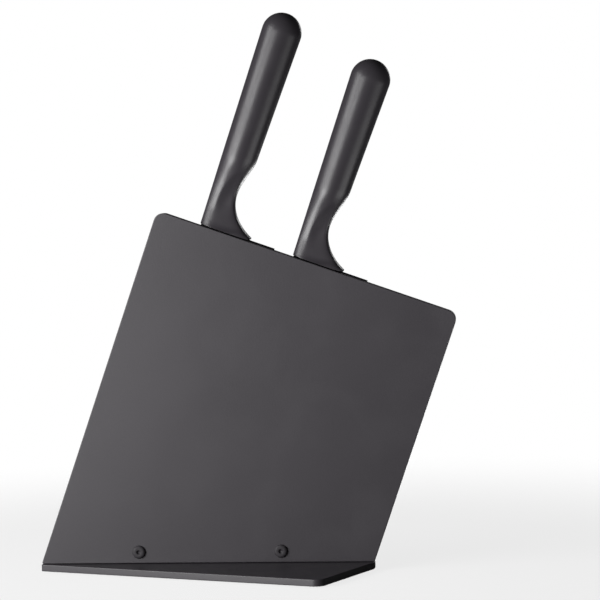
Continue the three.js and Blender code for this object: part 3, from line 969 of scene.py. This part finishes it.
build_base()
for pad in FOOT_PADS:
    build_pad(pad)
for screw in BASE_SCREWS:
    build_base_screw(screw)
build_panel()
for screw in FRONT_SCREWS:
    build_front_screw(screw)
build_bracket()
build_board()
dress_inner_nodes()
build_knife("cook", tip_drop=9)
build_knife("vegetable", tip_drop=16)


# ---------------------------------------------------------------- floor, light and camera
def build_floor():
    side = FLOOR_GONE * 1.02  # just past the radius where it has faded away
    corners = [(-side, -side, 0), (side, -side, 0), (side, side, 0), (-side, side, 0)]
    floor = mesh_object("floor", corners, [(0, 1, 2, 3)])
    floor.data.materials.append(floor_look())


def soft_box(name, azimuth, elevation, distance, width, height, power):
    """A rectangular light that faces the stand. Azimuth 0 is in front, and 90 to the right."""
    a, e = math.radians(azimuth), math.radians(elevation)
    away = Vector((math.sin(a) * math.cos(e), -math.cos(a) * math.cos(e), math.sin(e)))
    target = Vector((0, 0, cad_high.z / 2))
    data = bpy.data.lights.new(name, "AREA")
    data.shape = "RECTANGLE"
    data.size = width
    data.size_y = height
    data.energy = power
    light = bpy.data.objects.new(name, data)
    light.rotation_mode = "QUATERNION"
    light.rotation_quaternion = away.to_track_quat("Z", "Y")
    light.location = target + away * distance
    bpy.context.scene.collection.objects.link(light)


def table_glow(name, centre, size, power):
    """Light that a bright table top near the stand throws up at it, itself out of sight."""
    data = bpy.data.lights.new(name, "AREA")
    data.shape = "SQUARE"
    data.size = size
    data.energy = power
    light = bpy.data.objects.new(name, data)
    light.rotation_euler = (math.pi, 0, 0)
    light.location = (*centre, 3 * MM)
    light.visible_camera = False
    bpy.context.scene.collection.objects.link(light)


CAMERA_TURNS = (27.727, 3.193, -1.560)  # azimuth, elevation and roll in degrees
CAMERA_DISTANCE = 1.6
CAMERA_LENS = 163.97  # in mm, on a sensor 36 mm wide
CAMERA_AIM = Vector((68.15, 0, 163.5)) * MM  # from the middle of the rectangle under the panel


def build_camera():
    """A long lens from the front right, a little above the base and rolled slightly."""
    azimuth, elevation, roll = (math.radians(turn) for turn in CAMERA_TURNS)
    base_middle = Vector((base_high.x - BASE_LENGTH / 2, base_low.y + BASE_DEPTH / 2, 0))
    aim = base_middle + CAMERA_AIM
    forward = Vector(
        (
            -math.sin(azimuth) * math.cos(elevation),
            math.cos(azimuth) * math.cos(elevation),
            -math.sin(elevation),
        )
    )
    level_right = Vector((math.cos(azimuth), math.sin(azimuth), 0))
    level_up = level_right.cross(forward)
    right = math.cos(roll) * level_right + math.sin(roll) * level_up
    up = math.cos(roll) * level_up - math.sin(roll) * level_right
    data = bpy.data.cameras.new("camera")
    data.sensor_width = 36
    data.lens = CAMERA_LENS
    data.clip_start = 0.1
    camera = bpy.data.objects.new("camera", data)
    camera.matrix_world = frame_matrix(right, up, -forward, aim - forward * CAMERA_DISTANCE)
    bpy.context.scene.collection.objects.link(camera)
    bpy.context.scene.camera = camera


def build_world():
    """A white backdrop, which lights the stand only as much as a dim room does."""
    world = bpy.data.worlds.new("studio")
    world.use_nodes = True
    tree = world.node_tree
    backdrop = tree.nodes["Background"]
    backdrop.inputs["Color"].default_value = (1, 1, 1, 1)
    room = tree.nodes.new("ShaderNodeBackground")
    room.inputs["Color"].default_value = (1, 1, 1, 1)
    room.inputs["Strength"].default_value = ROOM_LIGHT
    seen = tree.nodes.new("ShaderNodeLightPath")
    mix = tree.nodes.new("ShaderNodeMixShader")
    tree.links.new(seen.outputs["Is Camera Ray"], mix.inputs[0])
    tree.links.new(room.outputs[0], mix.inputs[1])
    tree.links.new(backdrop.outputs[0], mix.inputs[2])
    tree.links.new(mix.outputs[0], tree.nodes["World Output"].inputs["Surface"])
    bpy.context.scene.world = world
    bpy.context.scene.view_settings.view_transform = "Standard"


build_floor()
soft_box("key", azimuth=-20, elevation=1, distance=1.0, width=0.54, height=0.46, power=10.6)
soft_box("side", azimuth=-41, elevation=24, distance=1.0, width=0.4, height=0.5, power=3.6)
soft_box("back", azimuth=181, elevation=14, distance=1.3, width=0.36, height=0.3, power=0.9)
table_glow("right_glow", centre=(0.52, -0.06), size=0.4, power=1.3)
table_glow("back_glow", centre=(-0.18, 0.48), size=0.56, power=7.5)
build_camera()
build_world()
